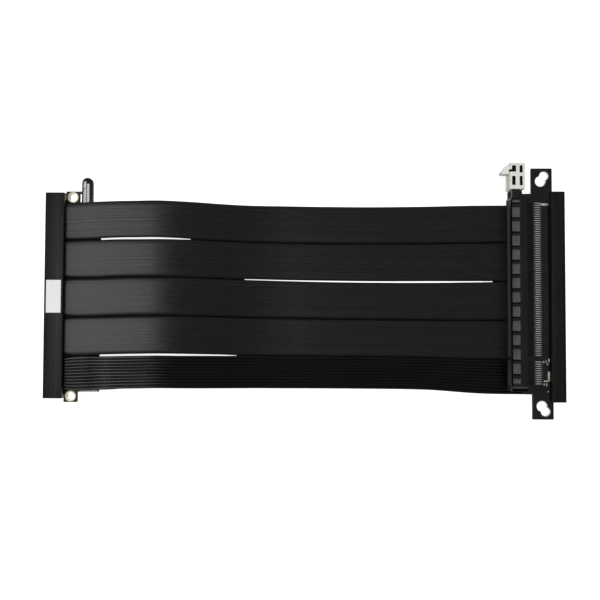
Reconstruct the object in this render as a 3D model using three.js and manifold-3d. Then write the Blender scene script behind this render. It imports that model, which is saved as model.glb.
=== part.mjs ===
// Flat riser cable for a graphics card: a plug end and a slot end joined by five flat strips.
// Millimetres. +X runs from the plug end to the slot end, +Y across the strips, +Z up from the table.
import * as THREE from 'three';
import { mergeVertices } from 'three/addons/utils/BufferGeometryUtils.js';
import Module from 'manifold-3d';

const wasm = await Module();
wasm.setup();

// Edge connector, shared by the plug's tongue and the slot
const pitch = 1;
const shortCount = 11;
const longCount = 71;
const keyWidth = 1.9;
const keyMargin = 0.55;
const endMargin = 1.1;
const boardThickness = 1.6;

// Solids that join or cut reach this far into or past each other
const lap = 0.1;
const over = 1;

// Covers: each end's cable side is one shell, its board side the other
const span = 237.6;
const coverHeight = 9;
const coverWall = 1.1;
const coverSeam = 4.4;
const boardLift = 4.7;
const stripLift = 2.6;
const seat = 0.3;
const plugCoverWidth = 8.65;
const plugCoverLength = 94;
const slotCoverWidth = 6.1;
const slotCoverExtra = 1.15;
const coverEndRoom = 1.9;
const coverOffset = -1.57;

// Strips
const ribbonWidth = 14.8;
const stripSeam = 1.1;
const stripThickness = 1.2;
const stripCorner = 0.4;
const stepsPerStrip = 16;

// Slot board, measured from the middle of the contact row
const slotTabReach = 57.75;
const slotBodyReach = 45.95;
const slotTabWidth = 9.5;
const slotTabOver = 1.2;
const slotHoleInner = { inset: 5.4, fromEnd: 6.05, r: 2.4 };
const slotHoleOuter = { inset: 3.8, fromEnd: 3.6, r: 2.1 };
const slotBoardEar = 1.9;

// Slot housing
const housingDepth = 7.4;
const housingThickness = 7.6;
const housingTail = 44.7;
const housingFront = 18.7;
const endWall = 0.8;
const cardDepth = 5.8;
const cardClearance = 0.2;
const keyClearance = 0.15;
const leadIn = 1;
const lip = 1.3;
const chamberDepth = 6.4;
const chamberWall = 1.1;
const chamberMargin = 0.6;
const panelFirst = 39.3;
const panelPitch = 6.49;
const panelLength = 5;
const panelWidth = 3.9;
const panelInset = 0.25;
const panelDepth = 0.45;
const panelCount = 12;
const endRib = 1.85;
const upperPanel = 1.8;
const lowerPanel = 2.25;

// Slot contacts
const contactWidth = 0.5;
const contactThickness = 0.22;
const contactBump = 0.7;
const contactTip = 2;
const contactCrown = 2.1;
const contactStem = 0.15;
const contactFall = 0.35;
const footReach = 14.6;
const barDepth = 1.1;
const barInner = 1.3;

// Latch and the post that carries it
const latchReach = 59.75;
const latchWidth = 6.7;
const latchFront = 0.15;
const latchSwing = 15;
const pivotX = 3.4;
const pivotY = 45.45;
const postReach = 47.35;
const postFront = 0.6;
const postBack = 5.1;
const postSlope = 1.6;
const earThickness = 1.8;
const trunnionRadius = 0.8;
const trunnionLength = 1.3;
const legRadius = 1.4;
const tailReach = 3.8;
const tailDrop = 4.4;
const tailThickness = 5;
const tailTop = 0.3;
const tailFlat = 0.4;
const tailEnd = 0.6;
const windowDepth = 2.2;
const hookDepth = 2.2;
const catchBite = 0.35;
const catchDepth = 0.8;

// Latch windows, as distances from the latch's front and from its top edge
const latchWindows = [
  { left: 0.75, right: 2.6, from: 1.3, to: 4.2 },
  { left: -0.2, right: 1.2, from: 3.1, to: 4.2 },
  { left: 4.25, right: 5.6, from: 1.3, to: 4.6 },
  { left: 0.8, right: 2.35, from: 6.2, to: 10.3 },
  { left: 4.3, right: 5.6, from: 6.2, to: 10.5 },
];

// Plug board and its hook prong
const plugTabRise = 1.7;
const plugTabOver = 0.7;
const plugBoardDepth = 5.45;
const plugBoardOffset = -2;
const tongueOffset = -1.35;
const tongueDepth = 10;
const keyDepth = 7.6;
const bevelDepth = 0.5;
const bevelLength = 1.2;
const prongWidth = 5;
const prongGap = 1.1;
const prongReach = 13.9;
const neckWidth = 1;
const bridgeWidth = 1.3;
const plugHoleInset = 2.8;
const plugHoleX = 2.5;
const ringInner = 1.95;
const ringWall = 0.15;
const ringFlange = 0.35;
const ringProud = 0.06;
const ringFit = 0.05;
const fingerWidth = 0.7;
const fingerLength = 4.2;
const fingerSetback = 1.3;
const fingerThickness = 0.05;
const shortTie = 0.3;

// Wire ends inside the covers
const wiresPerStrip = 8;
const wireWidth = 0.4;
const wireHeight = 0.4;
const wireRun = 1.6;
const wireGap = 0.1;
const barLength = 0.8;
const barHeight = 1;

// Label on the plug cover
const labelWidth = 6.7;
const labelLength = 14.9;
const labelThickness = 0.1;
const labelOffset = -2.2;

// Values worked out from the ones above
const keyGap = keyWidth + 2 * keyMargin;
const shortRow = (shortCount - 1) * pitch;
const longRow = (longCount - 1) * pitch;
const rowLength = shortRow + keyGap + longRow;
const tongueLength = rowLength + 2 * endMargin;
const keyCentre = -rowLength / 2 + shortRow + keyGap / 2;
const slotY = (slotTabReach - latchReach) / 2;
const coverY = slotY + coverOffset;
const slotCoverLength = plugCoverLength + 2 * slotCoverExtra;
const plugTabReach = plugCoverLength / 2 + plugTabRise;
const plugHoleY = plugTabReach - plugHoleInset;
const plugBoardY = slotY + plugBoardOffset;
const tongueY = plugBoardY + tongueOffset;
const slotFace = span / 2 - slotCoverWidth;
const plugFace = -span / 2 + plugCoverWidth;
const housingX = slotFace - housingFront;
const slotZ = boardLift + boardThickness / 2;
const plugTop = coverHeight - boardLift;
const halfBoard = boardThickness / 2;
const halfHousing = housingThickness / 2;
const stripEntry = coverWall + seat;
const cardHalf = tongueLength / 2 + cardClearance;
const wallReach = cardHalf + endWall;
const slotHalf = halfBoard + cardClearance / 2;
const chamberTop = halfHousing - chamberWall;
const chamberHalf = rowLength / 2 + chamberMargin;
const hookHalf = halfBoard + cardClearance;
const hookReach = tongueLength / 2 + prongReach;

// Strips side by side between the plug cover's end walls, each in a lane of its own
const mouthGap = 2 * seat;
const stripRoom = plugCoverLength - 2 * (coverWall + coverEndRoom + mouthGap);
const stripWidth = (stripRoom - ribbonWidth - 4 * stripSeam) / 4;
const stripNames = ['flat_strip_1', 'flat_strip_2', 'flat_strip_3', 'flat_strip_4', 'ribbon_strip_5'];
const stripWidths = [stripWidth, stripWidth, stripWidth, stripWidth, ribbonWidth];
const lanes = stripWidths.map((width, i) =>
  stripRoom / 2 - i * (stripWidth + stripSeam) - width / 2);
const plugStripZ = coverHeight - stripLift;
const routeStart = plugFace - stripEntry;
const routeRun = slotFace + stripEntry - routeStart;

// Route of the strips: the share of the run, z, then how far each strip strays from its lane
const route = [
  [0, plugStripZ, -1, -0.3, -0.1, 0.1, 0],
  [0.016, plugStripZ, -1, -0.3, -0.1, 0.1, 0],
  [0.042, 7.1, -0.8, -0.2, -0.1, 0.2, 0.3],
  [0.078, 8.7, -0.6, -0.2, 0, 0.4, 0.7],
  [0.118, 10.1, -0.5, 0.1, 0.3, 0.7, 1],
  [0.158, 11, -0.5, 0.1, 0.5, 0.9, 1.2],
  [0.197, 11.3, -0.4, 0.1, 0.6, 1, 1.4],
  [0.237, 10.6, -0.6, 0, 0.6, 0.9, 1.3],
  [0.277, 8.7, -0.8, -0.2, 0.4, 0.8, 1.1],
  [0.317, 6, -1, -0.4, 0.2, 0.6, 0.9],
  [0.357, 3.4, -1.1, -0.5, 0, 0.3, 0.7],
  [0.397, 1.6, -1.1, -0.6, -0.1, 0.1, 0.6],
  [0.441, 0.85, -1.1, -0.8, -0.3, 0, 0.5],
  [0.517, 0.75, -1.3, -1.1, -0.6, -0.2, 0.5],
  [0.627, 0.75, -1.4, -1.2, -1, -0.3, 0.4],
  [0.738, 0.75, -1.1, -1.1, -1, -0.6, 0.1],
  [0.849, 0.75, -0.5, -0.8, -0.9, -1, -1],
  [0.938, 0.75, -0.4, -0.5, -0.7, -0.9, -1.2],
  [0.964, 1.2, -0.4, -0.5, -0.7, -0.9, -1.2],
  [0.984, 2.2, -0.4, -0.5, -0.7, -0.9, -1.1],
  [1, stripLift, -0.4, -0.5, -0.7, -0.9, -1.1],
];

// The y of each strip's middle in one row of the route, from the covers' middle
function middles(row) {
  return row.slice(2).map((stray, i) => lanes[i] + stray);
}

const finishes = {
  cover: { color: 0x262624, roughness: 0.5, metalness: 0 },
  board: { color: 0x151515, roughness: 0.35, metalness: 0 },
  housing: { color: 0x232321, roughness: 0.6, metalness: 0 },
  strip: { color: 0x2b2b2a, roughness: 0.45, metalness: 0 },
  ribbon: { color: 0x121212, roughness: 0.35, metalness: 0 },
  latch: { color: 0xe8eadf, roughness: 0.5, metalness: 0 },
  label: { color: 0xf4f4f2, roughness: 0.7, metalness: 0 },
  gold: { color: 0xd9b45a, roughness: 0.25, metalness: 1 },
  tinned: { color: 0xb8b8b4, roughness: 0.35, metalness: 1 },
  copper: { color: 0xb87349, roughness: 0.35, metalness: 1 },
  inner: { color: 0x1d1d1b, roughness: 0.55, metalness: 0 },
};

const part = new THREE.Group();

function addMesh(name, geometry, finish, parent = part) {
  const mesh = new THREE.Mesh(geometry, new THREE.MeshStandardMaterial(finishes[finish]));
  mesh.name = name;
  parent.add(mesh);
}

// Solids

function box(x0, x1, y0, y1, z0, z1) {
  const geometry = new THREE.BoxGeometry(x1 - x0, y1 - y0, z1 - z0);
  return geometry.translate((x0 + x1) / 2, (y0 + y1) / 2, (z0 + z1) / 2);
}

function outline(points) {
  return new THREE.Shape(points.map(([x, y]) => new THREE.Vector2(x, y)));
}

function plate(shape, z0, z1) {
  const options = { depth: z1 - z0, bevelEnabled: false, curveSegments: 6 };
  return new THREE.ExtrudeGeometry(shape, options).translate(0, 0, z0);
}

// A section drawn in x and z, run along y
function bar(points, y0, y1) {
  const geometry = new THREE.ExtrudeGeometry(outline(points), { depth: y1 - y0, bevelEnabled: false });
  return geometry.rotateX(Math.PI / 2).translate(0, y1, 0);
}

function upright(x, y, r, z0, z1, segments = 20) {
  const geometry = new THREE.CylinderGeometry(r, r, z1 - z0, segments);
  return geometry.rotateX(Math.PI / 2).translate(x, y, (z0 + z1) / 2);
}

function solid(geometry) {
  const bare = geometry.clone();
  bare.deleteAttribute('normal');
  bare.deleteAttribute('uv');
  const merged = mergeVertices(bare, 1e-4);
  const vertProperties = merged.attributes.position.array;
  const triVerts = new Uint32Array(merged.index.array);
  return new wasm.Manifold(new wasm.Mesh({ numProp: 3, vertProperties, triVerts }));
}

function surface(body) {
  const mesh = body.getMesh();
  const geometry = new THREE.BufferGeometry();
  geometry.setAttribute('position', new THREE.BufferAttribute(mesh.vertProperties, 3));
  geometry.setIndex(new THREE.BufferAttribute(mesh.triVerts, 1));
  const flat = geometry.toNonIndexed();
  flat.computeVertexNormals();
  return flat;
}

function join(body, geometries) {
  return geometries.reduce((sum, geometry) => sum.add(solid(geometry)), body);
}

function cut(body, geometries) {
  return geometries.reduce((rest, geometry) => rest.subtract(solid(geometry)), body);
}

// The y of each contact in a row of the edge connector, from the row's middle
const shortPlaces = Array.from({ length: shortCount }, (_, i) => -rowLength / 2 + i * pitch);
const longPlaces = Array.from({ length: longCount }, (_, i) => rowLength / 2 - i * pitch);

// Covers, drawn with x going into the cover from its inner face, y from its middle and the cable side down

const stripEdges = route.flatMap((row) => middles(row).map((y, i) => [y, stripWidths[i]]));
const mouthLow = Math.min(...stripEdges.map(([y, width]) => y - width / 2)) - mouthGap;
const mouthHigh = Math.max(...stripEdges.map(([y, width]) => y + width / 2)) + mouthGap;
const stripBottom = stripLift - stripThickness / 2;
const stripTop = stripLift + stripThickness / 2;

function cableShell(width, length) {
  const half = length / 2;
  const inner = half - coverWall;
  return surface(cut(solid(box(0, width, -half, half, 0, coverSeam)), [
    box(coverWall, width - coverWall, -inner, inner, coverWall, coverSeam + over),
    box(-over, coverWall + over, mouthLow, mouthHigh, stripBottom - seat, coverSeam + over),
  ]));
}

function boardShell(width, length, tabOver) {
  const half = length / 2;
  const inner = half - coverWall;
  const boardTop = boardLift + boardThickness + seat;
  const pocket = Math.max(coverWall, tabOver) + seat;
  return surface(cut(solid(box(0, width, -half, half, coverSeam, coverHeight)), [
    box(coverWall, width - coverWall, -inner, inner, coverSeam - over, coverHeight - coverWall),
    box(-over, pocket, -half - over, half + over, coverSeam - over, boardTop),
  ]));
}

function strainBar() {
  return box(0, coverWall, mouthLow + seat, mouthHigh - seat, stripTop + seat, coverSeam);
}

// A bar across one strip's shields, with the wires rising from it to the board
function groundBar(middle, width) {
  const half = width / 2 - stripCorner;
  const barX = stripEntry + seat;
  const wireX = barX + barLength / 2;
  const wireTop = boardLift - wireGap;
  const wireEnd = wireX + wireRun;
  const body = solid(box(barX, barX + barLength, middle - half, middle + half,
    stripLift - barHeight / 2, stripLift + barHeight / 2));
  const section = [[wireX, stripLift - wireHeight / 2], [wireEnd, wireTop - wireHeight],
    [wireEnd, wireTop], [wireX, stripLift + wireHeight / 2]];
  const step = 2 * half / wiresPerStrip;
  const wires = Array.from({ length: wiresPerStrip }, (_, i) => {
    const y = middle - half + (i + 0.5) * step;
    return bar(section, y - wireWidth / 2, y + wireWidth / 2);
  });
  return surface(join(body, wires));
}

function addWireEnds(end, row, parent) {
  middles(row).forEach((middle, i) => {
    addMesh(`${end}_wire_ends_${i + 1}`, groundBar(middle, stripWidths[i]), 'copper', parent);
  });
}

// Slot end

function slotBoard() {
  const right = slotFace + slotCoverWidth - coverWall - seat;
  const tabRight = slotFace + slotTabOver;
  const tabLeft = tabRight - slotTabWidth;
  const edge = housingX + housingDepth + seat;
  const ear = edge - slotBoardEar;
  const high = coverY + slotCoverLength / 2 - coverWall - seat;
  const low = coverY - slotCoverLength / 2 + coverWall + seat;
  const shape = outline([
    [right, low], [right, high], [tabRight, high],
    [tabRight, slotY + slotTabReach], [tabLeft, slotY + slotTabReach],
    [tabLeft, slotY + slotBodyReach], [ear, slotY + slotBodyReach],
    [ear, slotY + wallReach + seat], [edge, slotY + wallReach + seat],
    [edge, slotY - housingTail - seat], [ear, slotY - housingTail - seat],
    [ear, slotY - slotBodyReach], [tabLeft, slotY - slotBodyReach],
    [tabLeft, slotY - slotTabReach], [tabRight, slotY - slotTabReach],
    [tabRight, low],
  ]);
  const z0 = boardLift;
  const z1 = boardLift + boardThickness;
  const holes = [slotHoleInner, slotHoleOuter].flatMap(({ inset, fromEnd, r }) => [
    upright(tabRight - inset, slotY + slotTabReach - fromEnd, r, z0 - over, z1 + over),
    upright(tabRight - inset, slotY - slotTabReach + fromEnd, r, z0 - over, z1 + over),
  ]);
  return surface(cut(solid(plate(shape, z0, z1)), holes));
}

// Both ways from the board's middle plane
function mirrored(z0, z1, make) {
  return [make(slotZ + z0, slotZ + z1), make(slotZ - z1, slotZ - z0)];
}

function slotHousing() {
  const x0 = housingX;
  const x1 = housingX + housingDepth;
  const z0 = slotZ - halfHousing;
  const z1 = slotZ + halfHousing;
  const swing = THREE.MathUtils.degToRad(latchSwing);
  const earTop = postReach - pivotY;
  const bend = earTop * Math.tan(swing / 2);
  const postRight = housingX + postBack;
  const post = outline([
    [x0 + postFront, slotY + wallReach + endWall],
    [x0, slotY + wallReach - postSlope],
    [postRight, slotY + wallReach - postSlope],
    [postRight, slotY + postReach - (postRight - housingX - pivotX - bend) * Math.tan(swing)],
    [housingX + pivotX + bend, slotY + postReach],
    [x0 + postFront, slotY + postReach],
  ]);
  const body = join(solid(box(x0, x1, slotY - housingTail, slotY + wallReach, z0, z1)), [plate(post, z0, z1)]);
  const rib = keyWidth / 2 - keyClearance;
  const keyY = slotY + keyCentre;
  const mouth = [
    box(x0 - over, x0 + cardDepth, slotY - cardHalf, keyY - rib, slotZ - slotHalf, slotZ + slotHalf),
    box(x0 - over, x0 + cardDepth, keyY + rib, slotY + cardHalf, slotZ - slotHalf, slotZ + slotHalf),
  ];
  const wedge = [
    [x0 - lap, slotZ - slotHalf - leadIn - lap], [x0 + leadIn, slotZ - slotHalf],
    [x0 + leadIn, slotZ + slotHalf], [x0 - lap, slotZ + slotHalf + leadIn + lap],
  ];
  const leads = [
    bar(wedge, slotY - cardHalf, keyY - rib),
    bar(wedge, keyY + rib, slotY + cardHalf),
  ];
  const chambers = mirrored(slotHalf - lap, chamberTop, (low, high) =>
    box(x0 + lip, x0 + chamberDepth, slotY - chamberHalf, slotY + chamberHalf, low, high));
  const slits = mirrored(halfBoard - lap, halfBoard + contactThickness + seat, (low, high) =>
    box(x0 + cardDepth - seat, x1 + over, slotY - chamberHalf, slotY + chamberHalf, low, high));
  const fullPanels = Array.from({ length: panelCount }, (_, i) =>
    ({ top: panelFirst - i * panelPitch, length: panelLength }));
  const endPanels = [
    { top: panelFirst + endRib + upperPanel, length: upperPanel },
    { top: panelFirst - (panelCount - 1) * panelPitch - panelLength - endRib, length: lowerPanel },
  ];
  const panels = [...fullPanels, ...endPanels].flatMap(({ top, length }) =>
    mirrored(halfHousing - panelDepth, halfHousing + over, (low, high) =>
      box(x0 + panelInset, x0 + panelInset + panelWidth, slotY + top - length, slotY + top, low, high)));
  const earGap = box(x0 + postFront - over, postRight + over, slotY + pivotY - legRadius - seat,
    slotY + postReach + over, z0 + earThickness, z1 - earThickness);
  const sockets = mirrored(halfHousing - earThickness - lap, halfHousing - earThickness + trunnionLength,
    (low, high) => upright(housingX + pivotX, slotY + pivotY, trunnionRadius + seat, low, high, 16));
  return surface(cut(body, [...mouth, ...leads, ...chambers, ...slits, ...panels, earGap, ...sockets]));
}

// One row of contacts: side is 1 above the board and -1 below it
function contactRow(side) {
  const x = (depth) => housingX + depth;
  const z = (height) => slotZ + side * height;
  const bend = chamberDepth - seat - barDepth / 2;
  const section = [
    [x(footReach), z(halfBoard)], [x(footReach), z(halfBoard + contactThickness)],
    [x(bend + contactStem), z(halfBoard + contactThickness)], [x(bend + contactStem), z(contactCrown)],
    [x(contactTip), z(contactBump + contactThickness)], [x(contactTip), z(contactBump)],
    [x(bend - contactStem), z(contactCrown - contactFall)], [x(bend - contactStem), z(halfBoard)],
  ];
  const points = side > 0 ? section : section.slice().reverse();
  const low = Math.min(z(barInner), z(chamberTop - seat));
  const high = Math.max(z(barInner), z(chamberTop - seat));
  const back = chamberDepth - seat;
  const carrier = box(x(back - barDepth), x(back), slotY - rowLength / 2 - contactWidth / 2,
    slotY + rowLength / 2 + contactWidth / 2, low, high);
  const teeth = [...shortPlaces, ...longPlaces].map((y) =>
    bar(points, slotY + y - contactWidth / 2, slotY + y + contactWidth / 2));
  return surface(join(solid(carrier), teeth));
}

// The latch swings about its trunnions in the post's ears
function latch() {
  const x0 = housingX - latchFront;
  const x1 = x0 + latchWidth;
  const top = slotY + latchReach;
  const low = slotY + postReach + seat;
  const px = housingX + pivotX;
  const py = slotY + pivotY;
  const z0 = slotZ - halfHousing;
  const z1 = slotZ + halfHousing;
  const leg = halfHousing - earThickness - seat;
  const tail = outline([
    [x0 + lap, top - tailTop], [x0 - tailFlat, top - tailTop], [x0 - tailReach, top - tailDrop],
    [x0 - tailReach + tailEnd, top - tailDrop - tailEnd], [x0 + lap, top - tailDrop - tailEnd],
  ]);
  const body = join(solid(box(x0, x1, low, top, z0, z1)), [
    plate(tail, slotZ - tailThickness / 2, slotZ + tailThickness / 2),
    box(px - legRadius, px + legRadius, py, low + lap, slotZ - leg, slotZ + leg),
    upright(px, py, legRadius, slotZ - leg, slotZ + leg, 24),
    upright(px, py, trunnionRadius, slotZ - leg - trunnionLength, slotZ + leg + trunnionLength, 16),
  ]);
  const windows = latchWindows.flatMap(({ left, right, from, to }) =>
    mirrored(halfHousing - windowDepth, halfHousing + over, (floor, above) =>
      box(x0 + left, x0 + right, top - to, top - from, floor, above)));
  const hookEnd = slotY + hookReach;
  const hook = [
    box(x0 - tailReach - over, x0 + hookDepth, low - over, hookEnd - catchBite, slotZ - hookHalf, slotZ + hookHalf),
    box(x0 + catchDepth, x0 + hookDepth, low - over, hookEnd + seat, slotZ - hookHalf, slotZ + hookHalf),
  ];
  return surface(cut(body, [...windows, ...hook]));
}

// Plug end

function plugBoard() {
  const left = plugFace - plugCoverWidth + coverWall + seat;
  const tabLeft = plugFace - plugTabOver;
  const edge = plugFace + plugBoardDepth;
  const tip = edge + tongueDepth;
  const high = coverY + plugCoverLength / 2 - coverWall - seat;
  const low = coverY - plugCoverLength / 2 + coverWall + seat;
  const tabHigh = plugBoardY + plugTabReach;
  const tabLow = plugBoardY - plugTabReach;
  const keyLow = tongueY + keyCentre - keyWidth / 2;
  const keyHigh = tongueY + keyCentre + keyWidth / 2;
  const tongueLow = tongueY - tongueLength / 2;
  const tongueHigh = tongueY + tongueLength / 2;
  const shape = outline([
    [left, low], [tabLeft, low], [tabLeft, tabLow], [edge, tabLow], [edge, tongueLow], [tip, tongueLow],
    [tip, keyLow], [tip - keyDepth, keyLow], [tip - keyDepth, keyHigh], [tip, keyHigh],
    [tip, tongueHigh], [edge, tongueHigh], [edge, tabHigh], [tabLeft, tabHigh], [tabLeft, high], [left, high],
  ]);
  const z0 = plugTop - boardThickness;
  const z1 = plugTop;
  const prongLeft = edge + prongGap;
  const prongRight = prongLeft + prongWidth;
  const prongLow = tongueHigh + prongGap;
  const prongHigh = tongueHigh + prongReach;
  const round = prongWidth / 2;
  const prong = new THREE.Shape();
  prong.moveTo(prongLeft, prongLow);
  prong.lineTo(prongRight, prongLow);
  prong.lineTo(prongRight, prongHigh - round);
  prong.absarc(prongLeft + round, prongHigh - round, round, 0, Math.PI, false);
  prong.lineTo(prongLeft, prongLow);
  const body = join(solid(plate(shape, z0, z1)), [
    plate(prong, z0, z1),
    box(edge - lap, prongLeft + lap, tabHigh - neckWidth, tabHigh, z0, z1),
    box(edge - lap, prongLeft + lap, prongLow, prongLow + bridgeWidth, z0, z1),
  ]);
  const bevels = [[z1, -1], [z0, 1]].map(([face, way]) => {
    const points = [[tip - bevelLength, face], [tip + lap, face + way * bevelDepth * (1 + lap / bevelLength)],
      [tip + lap, face - way], [tip - bevelLength, face - way]];
    return bar(way < 0 ? points : points.reverse(), tongueLow - over, tongueHigh + over);
  });
  const holes = [1, -1].map((side) => upright(plugFace + plugHoleX, plugBoardY + side * plugHoleY,
    ringInner + ringWall + ringFit, z0 - over, z1 + over));
  return surface(cut(body, [...bevels, ...holes]));
}

// Plated ring: a barrel through the hole with a thin flange on each face
function holeRing(side) {
  const half = halfBoard + ringProud;
  const flange = ringInner + ringFlange + ringWall;
  const barrel = ringInner + ringWall;
  const profile = [[ringInner, -half], [flange, -half], [flange, -halfBoard], [barrel, -halfBoard],
    [barrel, halfBoard], [flange, halfBoard], [flange, half], [ringInner, half], [ringInner, -half]];
  const geometry = new THREE.LatheGeometry(profile.map(([r, z]) => new THREE.Vector2(r, z)), 20);
  geometry.rotateX(Math.PI / 2);
  return geometry.translate(plugFace + plugHoleX, plugBoardY + side * plugHoleY, plugTop - halfBoard);
}

// One group of plug contacts, joined at the root by the plating strip that feeds them
function plugFingers(places, above) {
  const tip = plugFace + plugBoardDepth + tongueDepth - fingerSetback;
  const root = tip - fingerLength;
  const half = fingerWidth / 2;
  const ys = places.map((y) => tongueY + y).sort((a, b) => a - b);
  const points = [[root - shortTie, ys[0] - half]];
  ys.forEach((y, i) => {
    points.push([tip, y - half], [tip, y + half]);
    if (i < ys.length - 1) {
      points.push([root, y + half], [root, ys[i + 1] - half]);
    }
  });
  points.push([root - shortTie, ys[ys.length - 1] + half]);
  const z0 = above ? plugTop : plugTop - boardThickness - fingerThickness;
  return plate(outline(points), z0, z0 + fingerThickness);
}

// Strips

// A flat strip never twists, so its width stays level all along the route
class LevelRoute extends THREE.CatmullRomCurve3 {
  computeFrenetFrames(segments) {
    const tangents = Array.from({ length: segments + 1 }, (_, i) => this.getTangentAt(i / segments));
    const binormals = tangents.map((t) => new THREE.Vector3(-t.y, t.x, 0).normalize());
    const normals = tangents.map((t, i) => new THREE.Vector3().crossVectors(binormals[i], t));
    return { tangents, normals, binormals };
  }
}

function strip(index) {
  const points = route.map((row) =>
    new THREE.Vector3(routeStart + row[0] * routeRun, coverY + middles(row)[index], row[1]));
  const extrudePath = new LevelRoute(points, false, 'centripetal');
  const w = stripWidths[index] / 2;
  const t = stripThickness / 2;
  const c = stripCorner;
  const section = outline([[-t, -w + c], [-t + c, -w], [t - c, -w], [t, -w + c],
    [t, w - c], [t - c, w], [-t + c, w], [-t, w - c]]);
  return new THREE.ExtrudeGeometry(section, { steps: stepsPerStrip, extrudePath, bevelEnabled: false });
}

// Assembly

addMesh('plug_board', plugBoard(), 'board');
addMesh('plug_contacts_top_short', plugFingers(shortPlaces, true), 'gold');
addMesh('plug_contacts_top_long', plugFingers(longPlaces, true), 'gold');
addMesh('plug_contacts_bottom_short', plugFingers(shortPlaces, false), 'gold');
addMesh('plug_contacts_bottom_long', plugFingers(longPlaces, false), 'gold');
addMesh('plug_ring_upper', holeRing(1), 'gold');
addMesh('plug_ring_lower', holeRing(-1), 'gold');

// The plug's cover is turned over, so its cable side is up
const plugCover = new THREE.Group();
plugCover.rotation.y = Math.PI;
plugCover.position.set(plugFace, coverY, coverHeight);
part.add(plugCover);
addMesh('plug_cover_top', cableShell(plugCoverWidth, plugCoverLength), 'cover', plugCover);
addMesh('plug_cover_bottom', boardShell(plugCoverWidth, plugCoverLength, plugTabOver), 'cover', plugCover);
addMesh('plug_strain_bar', strainBar(), 'inner', plugCover);
addWireEnds('plug', route[0], plugCover);

const labelX = plugFace - plugCoverWidth / 2;
addMesh('blank_label', box(labelX - labelWidth / 2, labelX + labelWidth / 2,
  slotY + labelOffset - labelLength / 2, slotY + labelOffset + labelLength / 2,
  coverHeight, coverHeight + labelThickness), 'label');

stripNames.forEach((name, i) => addMesh(name, strip(i), i < 4 ? 'strip' : 'ribbon'));

addMesh('slot_board', slotBoard(), 'board');
addMesh('slot_housing', slotHousing(), 'housing');
addMesh('slot_contacts_upper', contactRow(1), 'tinned');
addMesh('slot_contacts_lower', contactRow(-1), 'tinned');
addMesh('retention_latch', latch(), 'latch');

const slotCover = new THREE.Group();
slotCover.position.set(slotFace, coverY, 0);
part.add(slotCover);
addMesh('slot_cover_bottom', cableShell(slotCoverWidth, slotCoverLength), 'cover', slotCover);
addMesh('slot_cover_top', boardShell(slotCoverWidth, slotCoverLength, slotTabOver), 'cover', slotCover);
addMesh('slot_strain_bar', strainBar(), 'inner', slotCover);
addWireEnds('slot', route[route.length - 1], slotCover);

export default part;
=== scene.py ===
import math

import bmesh
import bpy
from mathutils import Matrix, Vector, noise


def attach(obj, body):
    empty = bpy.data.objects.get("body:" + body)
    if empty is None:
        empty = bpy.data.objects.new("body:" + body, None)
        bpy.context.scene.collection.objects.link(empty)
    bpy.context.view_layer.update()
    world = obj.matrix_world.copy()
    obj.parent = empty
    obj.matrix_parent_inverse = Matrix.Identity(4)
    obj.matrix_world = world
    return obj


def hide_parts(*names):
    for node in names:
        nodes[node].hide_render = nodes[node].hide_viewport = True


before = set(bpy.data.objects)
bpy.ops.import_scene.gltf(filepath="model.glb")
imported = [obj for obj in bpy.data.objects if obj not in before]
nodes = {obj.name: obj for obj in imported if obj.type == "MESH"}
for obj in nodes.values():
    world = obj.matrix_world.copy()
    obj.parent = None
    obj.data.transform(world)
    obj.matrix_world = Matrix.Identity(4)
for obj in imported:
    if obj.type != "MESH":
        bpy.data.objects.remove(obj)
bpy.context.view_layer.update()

MM = 0.001

# Camera: the photograph's view, from almost straight above
CAMERA_AT = Vector((-2.2, -14.59, 320.0)) * MM
CAMERA_TILT = math.radians(1.85)
CAMERA_ROLL = math.radians(0.19)

camera = bpy.data.objects.new("camera", bpy.data.cameras.new("camera"))
camera.data.sensor_width = 36.0
camera.data.lens = 41.02
camera.data.clip_start = 0.01
camera.data.clip_end = 20.0
camera.matrix_world = (Matrix.Translation(CAMERA_AT) @ Matrix.Rotation(CAMERA_TILT, 4, "X")
                       @ Matrix.Rotation(CAMERA_ROLL, 4, "Z"))
bpy.context.scene.collection.objects.link(camera)
bpy.context.scene.camera = camera

# Small helpers


def new_object(name, verts, faces, smooth=False):
    """A mesh object from corners in millimetres."""
    mesh = bpy.data.meshes.new(name)
    mesh.from_pydata([tuple(Vector(v) * MM) for v in verts], [], faces)
    mesh.validate()
    mesh.update()
    mesh.polygons.foreach_set("use_smooth", [smooth] * len(mesh.polygons))
    obj = bpy.data.objects.new(name, mesh)
    bpy.context.scene.collection.objects.link(obj)
    return obj


def finish_piece(obj, material, body="base", stands_for=()):
    """Material, body, and CAD nodes that the piece stands for."""
    obj.data.materials.clear()
    obj.data.materials.append(material)
    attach(obj, body)
    if stands_for:
        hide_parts(*stands_for)
    return obj


def face_outwards(obj):
    mesh = bmesh.new()
    mesh.from_mesh(obj.data)
    bmesh.ops.recalc_face_normals(mesh, faces=mesh.faces)
    mesh.to_mesh(obj.data)
    mesh.free()


def smoothstep(a, b, t):
    s = min(max((t - a) / (b - a), 0.0), 1.0)
    return s * s * (3 - 2 * s)


# Materials


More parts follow.
